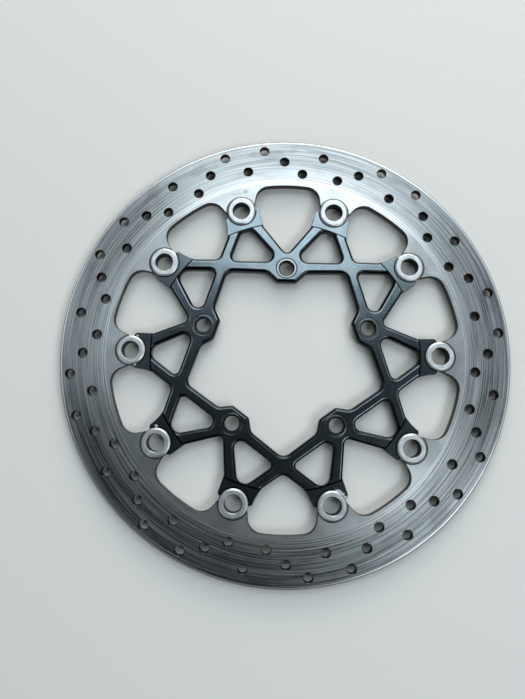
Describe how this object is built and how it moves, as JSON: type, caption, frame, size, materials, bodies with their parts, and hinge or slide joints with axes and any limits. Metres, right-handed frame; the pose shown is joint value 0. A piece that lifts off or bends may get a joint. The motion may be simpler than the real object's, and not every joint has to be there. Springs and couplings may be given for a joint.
{
  "type": "brake disc rotor",
  "caption": "Floating motorcycle brake disc: a drilled steel friction band carried by a dark alloy spoked centre through hollow float bobbins with sprung washers.",
  "frame": {"origin": "centre of the hub mounting face, on the wheel axis, at the rear of the carrier", "axes": "+Z along the wheel axis and out of the outboard face, +Y through the first bolt hole"},
  "size_m": [0.31, 0.31, 0.0084],
  "materials": {
    "rotor_steel": "ground and pad-worn",
    "carrier_finish": "black anodised, satin",
    "bobbin_steel": "turned, bright zinc",
    "spring_steel": "rolled spring strip",
    "washer_steel": "zinc plated"
  },
  "bodies": {
    "carrier": {"carrier": "carrier_finish"},
    "friction_band": {"friction_band": "rotor_steel"},
    "bobbin_01": {"bobbin_01": "bobbin_steel", "wave_washer_01": "spring_steel", "flat_washer_01": "washer_steel"},
    "bobbin_02": {"bobbin_02": "bobbin_steel", "wave_washer_02": "spring_steel", "flat_washer_02": "washer_steel"},
    "bobbin_03": {"bobbin_03": "bobbin_steel", "wave_washer_03": "spring_steel", "flat_washer_03": "washer_steel"},
    "bobbin_04": {"bobbin_04": "bobbin_steel", "wave_washer_04": "spring_steel", "flat_washer_04": "washer_steel"},
    "bobbin_05": {"bobbin_05": "bobbin_steel", "wave_washer_05": "spring_steel", "flat_washer_05": "washer_steel"},
    "bobbin_06": {"bobbin_06": "bobbin_steel", "wave_washer_06": "spring_steel", "flat_washer_06": "washer_steel"},
    "bobbin_07": {"bobbin_07": "bobbin_steel", "wave_washer_07": "spring_steel", "flat_washer_07": "washer_steel"},
    "bobbin_08": {"bobbin_08": "bobbin_steel", "wave_washer_08": "spring_steel", "flat_washer_08": "washer_steel"},
    "bobbin_09": {"bobbin_09": "bobbin_steel", "wave_washer_09": "spring_steel", "flat_washer_09": "washer_steel"},
    "bobbin_10": {"bobbin_10": "bobbin_steel", "wave_washer_10": "spring_steel", "flat_washer_10": "washer_steel"}
  },
  "joints": [
    {"name": "band_float", "type": "slide", "parent": "carrier", "child": "friction_band", "axis": [0, 0, 1], "range_m": [-0.00025, 0], "stiffness_N_per_m": 200000, "springref_m": 0.00005, "deforming": ["wave_washer_01", "wave_washer_02", "wave_washer_03", "wave_washer_04", "wave_washer_05", "wave_washer_06", "wave_washer_07", "wave_washer_08", "wave_washer_09", "wave_washer_10"]},
    {"name": "bobbin_01_spin", "type": "hinge", "parent": "carrier", "child": "bobbin_01", "pos_m": [0.03291, 0.10129, 0], "axis": [0, 0, 1], "continuous": true},
    {"name": "bobbin_02_spin", "type": "hinge", "parent": "carrier", "child": "bobbin_02", "pos_m": [0.08616, 0.0626, 0], "axis": [0, 0, 1], "continuous": true},
    {"name": "bobbin_03_spin", "type": "hinge", "parent": "carrier", "child": "bobbin_03", "pos_m": [0.1065, 0, 0], "axis": [0, 0, 1], "continuous": true},
    {"name": "bobbin_04_spin", "type": "hinge", "parent": "carrier", "child": "bobbin_04", "pos_m": [0.08616, -0.0626, 0], "axis": [0, 0, 1], "continuous": true},
    {"name": "bobbin_05_spin", "type": "hinge", "parent": "carrier", "child": "bobbin_05", "pos_m": [0.03291, -0.10129, 0], "axis": [0, 0, 1], "continuous": true},
    {"name": "bobbin_06_spin", "type": "hinge", "parent": "carrier", "child": "bobbin_06", "pos_m": [-0.03291, -0.10129, 0], "axis": [0, 0, 1], "continuous": true},
    {"name": "bobbin_07_spin", "type": "hinge", "parent": "carrier", "child": "bobbin_07", "pos_m": [-0.08616, -0.0626, 0], "axis": [0, 0, 1], "continuous": true},
    {"name": "bobbin_08_spin", "type": "hinge", "parent": "carrier", "child": "bobbin_08", "pos_m": [-0.1065, 0, 0], "axis": [0, 0, 1], "continuous": true},
    {"name": "bobbin_09_spin", "type": "hinge", "parent": "carrier", "child": "bobbin_09", "pos_m": [-0.08616, 0.0626, 0], "axis": [0, 0, 1], "continuous": true},
    {"name": "bobbin_10_spin", "type": "hinge", "parent": "carrier", "child": "bobbin_10", "pos_m": [-0.03291, 0.10129, 0], "axis": [0, 0, 1], "continuous": true}
  ]
}
